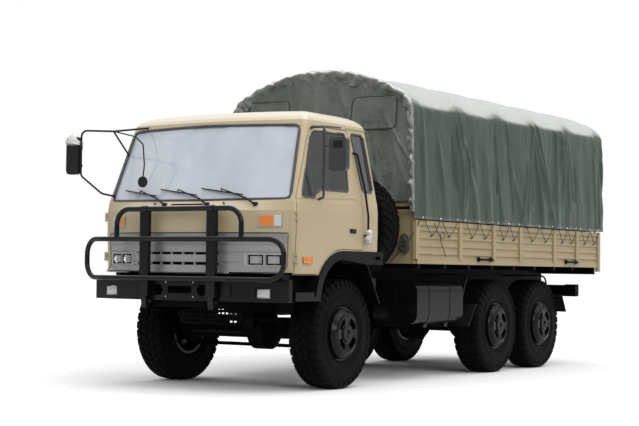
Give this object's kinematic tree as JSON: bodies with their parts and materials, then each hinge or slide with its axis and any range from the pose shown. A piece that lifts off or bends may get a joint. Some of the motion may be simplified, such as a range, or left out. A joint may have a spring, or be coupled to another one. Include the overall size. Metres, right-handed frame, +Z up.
{
  "type": "military cargo truck",
  "caption": "Three-axle forward-control cargo truck with a bull bar, canvas-covered drop-side bed, upright spare wheel, opening doors, steering and turning wheels and a drop tailgate.",
  "frame": {"origin": "bottom centre of the bounding box, on the ground under the middle of the truck", "axes": "+X the truck's left side, -Y the front, +Z up"},
  "size_m": [2.946, 7.787, 3.3776],
  "materials": {
    "sand_paint": "satin",
    "chassis_black": "satin",
    "grille_grey": "satin",
    "black_plastic": "matte",
    "glass": "polished",
    "canvas": "satin",
    "tyre": "matte",
    "steel": "satin",
    "cast": "satin",
    "lamp": "polished",
    "seat_cloth": "matte"
  },
  "bodies": {
    "chassis": {"air_tanks": "chassis_black", "battery_box": "chassis_black", "bed_side_left": "sand_paint", "bed_side_right": "sand_paint", "bull_bar": "chassis_black", "cab_front": "sand_paint", "cab_glass": "glass", "cab_roof": "sand_paint", "cab_shell": "sand_paint", "canopy_bows": "chassis_black", "cargo_floor": "chassis_black", "dashboard": "black_plastic", "driveline": "cast", "engine": "cast", "exhaust": "steel", "fenders": "black_plastic", "frame_crossmembers": "chassis_black", "frame_rails": "chassis_black", "front_axle": "cast", "front_bumper": "chassis_black", "front_lamps": "lamp", "front_springs": "chassis_black", "fuel_tank": "chassis_black", "grab_rails": "chassis_black", "grille": "grille_grey", "headboard": "sand_paint", "mirror_right": "black_plastic", "mudguards": "black_plastic", "rear_axles": "cast", "rear_bumper": "chassis_black", "rear_springs": "chassis_black", "seats": "seat_cloth", "skid_guard": "steel", "spare_carrier": "chassis_black", "spare_rim": "chassis_black", "spare_tyre": "tyre", "tarp": "canvas"},
    "steer_left": {"knuckle_left": "cast"},
    "wheel_front_left": {"tyre_front_left": "tyre", "rim_front_left": "chassis_black"},
    "wheel_mid_left": {"tyre_mid_left": "tyre", "rim_mid_left": "chassis_black"},
    "wheel_rear_left": {"tyre_rear_left": "tyre", "rim_rear_left": "chassis_black"},
    "door_left": {"door_left": "sand_paint", "door_glass_left": "glass", "mirror_left": "black_plastic"},
    "steer_right": {"knuckle_right": "cast"},
    "wheel_front_right": {"tyre_front_right": "tyre", "rim_front_right": "chassis_black"},
    "wheel_mid_right": {"tyre_mid_right": "tyre", "rim_mid_right": "chassis_black"},
    "wheel_rear_right": {"tyre_rear_right": "tyre", "rim_rear_right": "chassis_black"},
    "door_right": {"door_right": "sand_paint", "door_glass_right": "glass"},
    "track_rod": {"track_rod": "steel"},
    "tailgate": {"tailgate": "sand_paint"}
  },
  "joints": [
    {"name": "steer_left", "type": "hinge", "parent": "chassis", "child": "steer_left", "pos_m": [0.76, -2.54, 0.548], "axis": [0, 0, 1], "range_deg": [-30, 30]},
    {"name": "steer_right", "type": "hinge", "parent": "chassis", "child": "steer_right", "pos_m": [-0.76, -2.54, 0.548], "axis": [0, 0, 1], "range_deg": [-30, 30]},
    {"name": "spin_front_left", "type": "hinge", "parent": "steer_left", "child": "wheel_front_left", "pos_m": [0.948, -2.54, 0.548], "axis": [1, 0, 0], "continuous": true},
    {"name": "spin_mid_left", "type": "hinge", "parent": "chassis", "child": "wheel_mid_left", "pos_m": [0.948, 0.935, 0.548], "axis": [1, 0, 0], "continuous": true},
    {"name": "spin_rear_left", "type": "hinge", "parent": "chassis", "child": "wheel_rear_left", "pos_m": [0.948, 2.185, 0.548], "axis": [1, 0, 0], "continuous": true},
    {"name": "spin_front_right", "type": "hinge", "parent": "steer_right", "child": "wheel_front_right", "pos_m": [-0.948, -2.54, 0.548], "axis": [1, 0, 0], "continuous": true},
    {"name": "spin_mid_right", "type": "hinge", "parent": "chassis", "child": "wheel_mid_right", "pos_m": [-0.948, 0.935, 0.548], "axis": [1, 0, 0], "continuous": true},
    {"name": "spin_rear_right", "type": "hinge", "parent": "chassis", "child": "wheel_rear_right", "pos_m": [-0.948, 2.185, 0.548], "axis": [1, 0, 0], "continuous": true},
    {"name": "track_rod_pivot", "type": "hinge", "parent": "steer_left", "child": "track_rod", "pos_m": [0.76, -2.285, 0.428], "axis": [0, 0, 1], "range_deg": [-30, 30]},
    {"name": "door_left", "type": "hinge", "parent": "chassis", "child": "door_left", "pos_m": [1.172, -3.503, 1.49], "axis": [0, 0, -1], "range_deg": [0, 65]},
    {"name": "door_right", "type": "hinge", "parent": "chassis", "child": "door_right", "pos_m": [-1.172, -3.503, 1.49], "axis": [0, 0, 1], "range_deg": [0, 65]},
    {"name": "tailgate", "type": "hinge", "parent": "chassis", "child": "tailgate", "pos_m": [0, 3.786, 1.292], "axis": [-1, 0, 0], "range_deg": [0, 90]}
  ],
  "couplings": [
    {"joint": "steer_right", "follows": "steer_left", "ratio": 1},
    {"joint": "track_rod_pivot", "follows": "steer_left", "ratio": -1}
  ]
}
